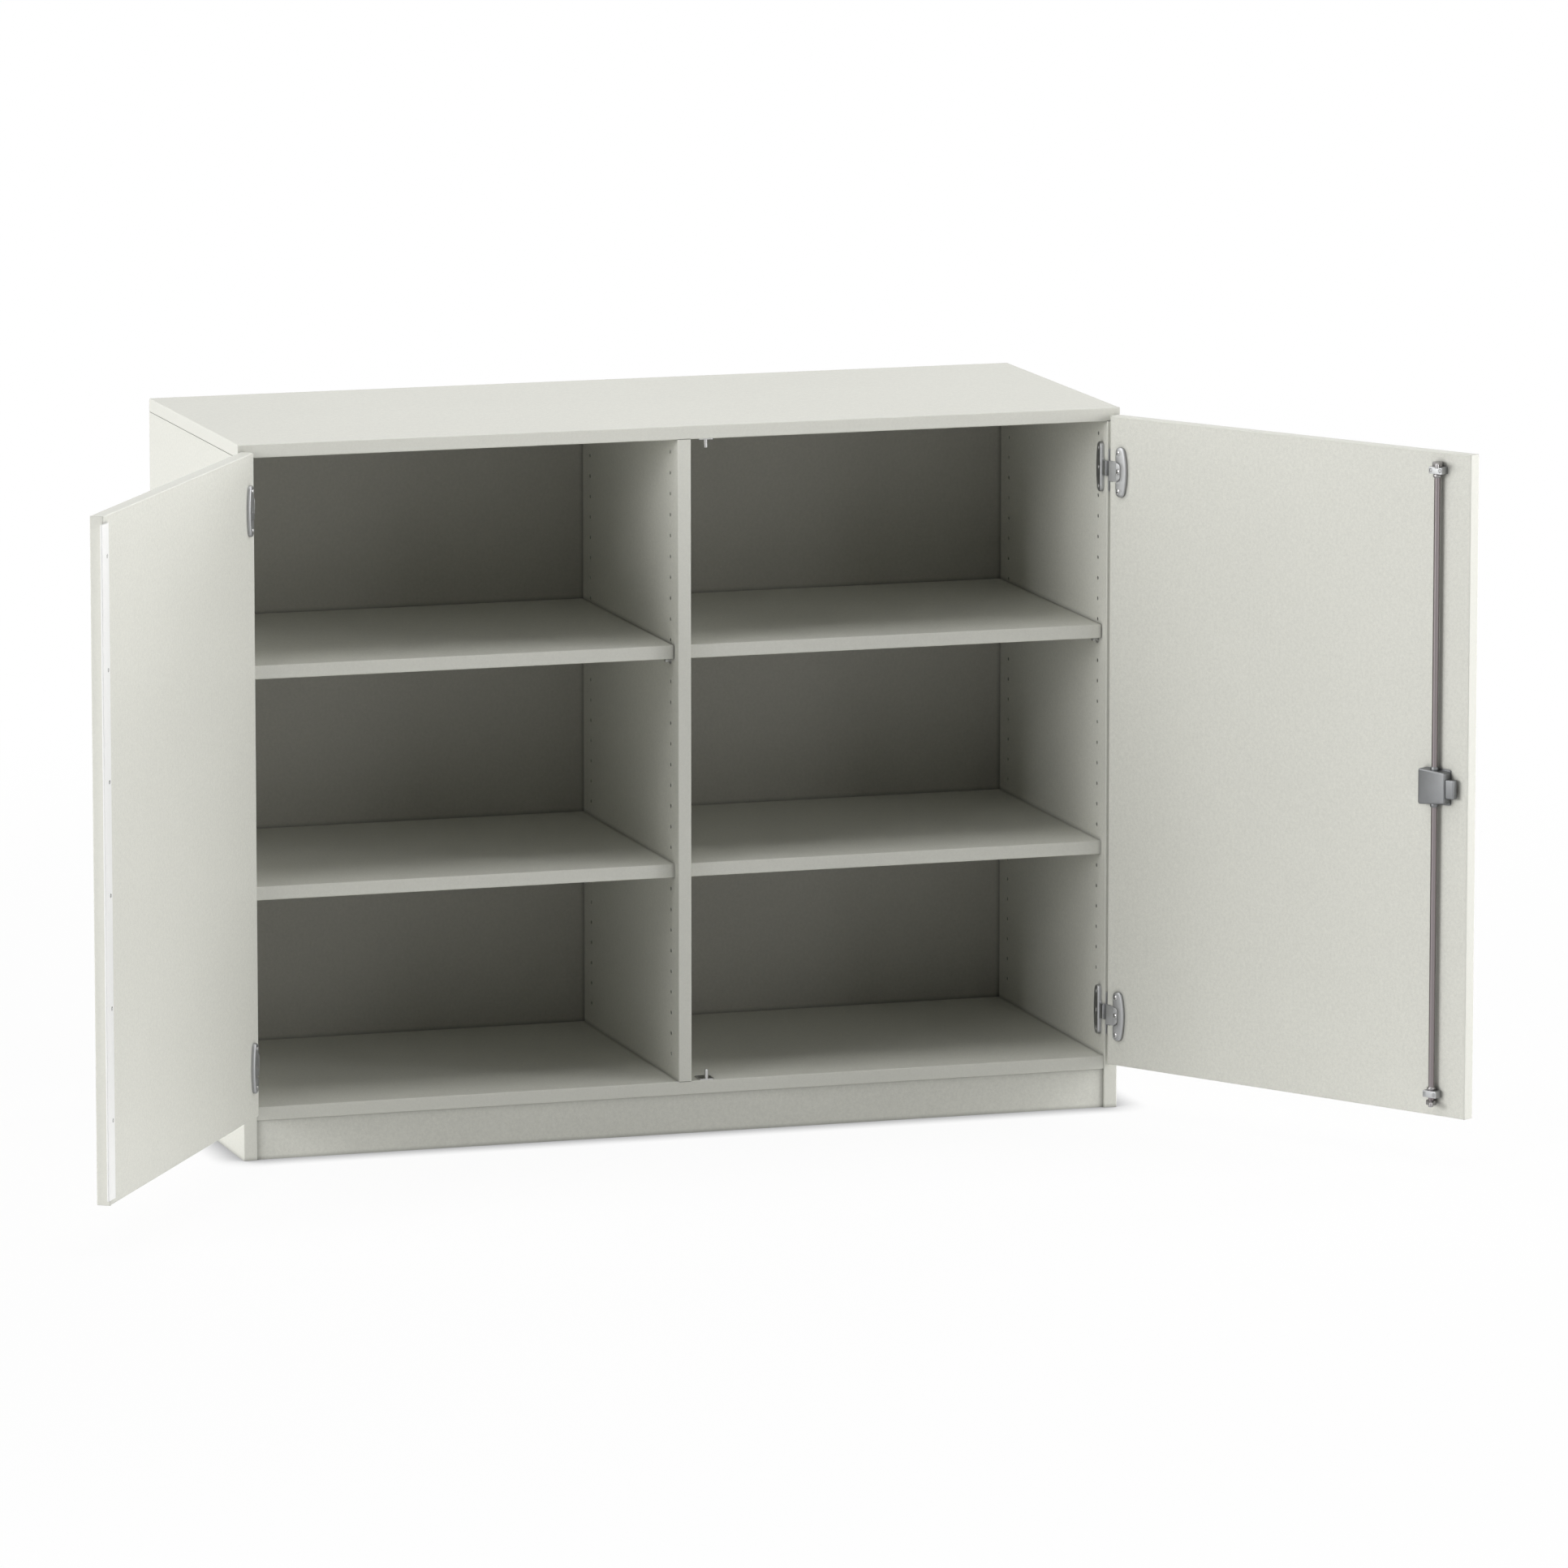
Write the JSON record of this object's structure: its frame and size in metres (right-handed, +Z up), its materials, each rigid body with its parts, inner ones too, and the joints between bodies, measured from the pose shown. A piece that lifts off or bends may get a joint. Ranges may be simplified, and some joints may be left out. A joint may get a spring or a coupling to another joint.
{
  "type": "kitchen base cabinet",
  "caption": "Low free-standing base cabinet with double doors, shelves either side of a centre partition, wrap-round hinges and an espagnolette lock.",
  "frame": {"origin": "middle of the front plinth board's underside, on the floor", "axes": "+X to the right seen from the front, +Y from the doors towards the back, +Z up; the doors stand open at rest"},
  "size_m": [1.8346, 0.983, 0.94],
  "materials": {
    "board": "light grey melamine-faced board, fine pearl texture",
    "back_board": "light grey melamine-faced board",
    "edge_strip": "matt light grey plastic edging",
    "stop_strip": "off-white rigid plastic strip",
    "dowel_wood": "plain beech",
    "bright_steel": "bright zinc-plated steel",
    "hinge_metal": "satin nickel-plated zinc casting",
    "lock_metal": "satin nickel-plated steel",
    "core_brass": "nickel-plated brass, worn at the keyway"
  },
  "bodies": {
    "carcass": {"left_side_panel": "board", "right_side_panel": "board", "top_panel": "board", "bottom_panel": "board", "centre_partition": "board", "back_panel": "back_board", "front_plinth_board": "board", "rear_plinth_board": "board", "left_fixed_shelf": "board", "right_fixed_shelf": "board", "left_loose_shelf": "board", "right_loose_shelf": "board", "side_edge_strips": "edge_strip", "top_edge_strips": "edge_strip", "bottom_edge_strip": "edge_strip", "partition_edge_strip": "edge_strip", "shelf_edge_strips": "edge_strip", "dowels": "dowel_wood", "shelf_supports": "bright_steel", "left_upper_cabinet_leaf": "hinge_metal", "left_lower_cabinet_leaf": "hinge_metal", "right_upper_cabinet_leaf": "hinge_metal", "right_lower_cabinet_leaf": "hinge_metal", "hinge_pins": "bright_steel", "cabinet_leaf_screws": "bright_steel", "upper_strike": "bright_steel", "lower_strike": "bright_steel", "strike_screws": "bright_steel"},
    "left_door": {"left_door_panel": "board", "left_door_edge_strips": "edge_strip", "left_upper_door_leaf": "hinge_metal", "left_lower_door_leaf": "hinge_metal", "left_door_leaf_screws": "bright_steel", "stop_strip": "stop_strip", "stop_strip_screws": "bright_steel"},
    "right_door": {"right_door_panel": "board", "right_door_edge_strips": "edge_strip", "right_upper_door_leaf": "hinge_metal", "right_lower_door_leaf": "hinge_metal", "right_door_leaf_screws": "bright_steel", "upper_rod_guide": "lock_metal", "lower_rod_guide": "lock_metal", "rod_guide_screws": "bright_steel", "lock_case": "lock_metal", "lock_base_plate": "lock_metal", "lock_screws": "bright_steel", "cylinder_housing": "lock_metal", "cylinder_rosette": "lock_metal"},
    "lock_rods": {"upper_lock_rod": "lock_metal", "lower_lock_rod": "lock_metal", "rod_hub": "lock_metal", "upper_hook": "lock_metal", "lower_hook": "lock_metal", "rod_collars": "lock_metal"},
    "bolt": {"lock_bolt": "bright_steel"},
    "key_core": {"lock_core": "core_brass"}
  },
  "joints": [
    {"name": "left_door_hinge", "type": "hinge", "parent": "carcass", "child": "left_door", "pos_m": [-0.5876, -0.0213, 0.5], "axis": [0, 0, 1], "range_deg": [0, 123.1]},
    {"name": "right_door_hinge", "type": "hinge", "parent": "carcass", "child": "right_door", "pos_m": [0.5876, -0.0213, 0.5], "axis": [0, 0, -1], "range_deg": [0, 123.1]},
    {"name": "rod_turn", "type": "hinge", "parent": "right_door", "child": "lock_rods", "pos_m": [0.87017, -0.48003, 0.5], "axis": [0, 0, 1], "range_deg": [0, 34]},
    {"name": "bolt_slide", "type": "slide", "parent": "right_door", "child": "bolt", "axis": [0.5461, -0.8377, 0], "range_m": [0, 0.006]},
    {"name": "key_turn", "type": "hinge", "parent": "right_door", "child": "key_core", "pos_m": [0.87004, -0.46519, 0.4953], "axis": [0.8377, 0.5461, 0], "range_deg": [0, 90]}
  ],
  "couplings": [
    {"joint": "bolt_slide", "follows": "rod_turn", "m_per_rad": 0.0101},
    {"joint": "key_turn", "follows": "rod_turn", "ratio": 2.64}
  ]
}
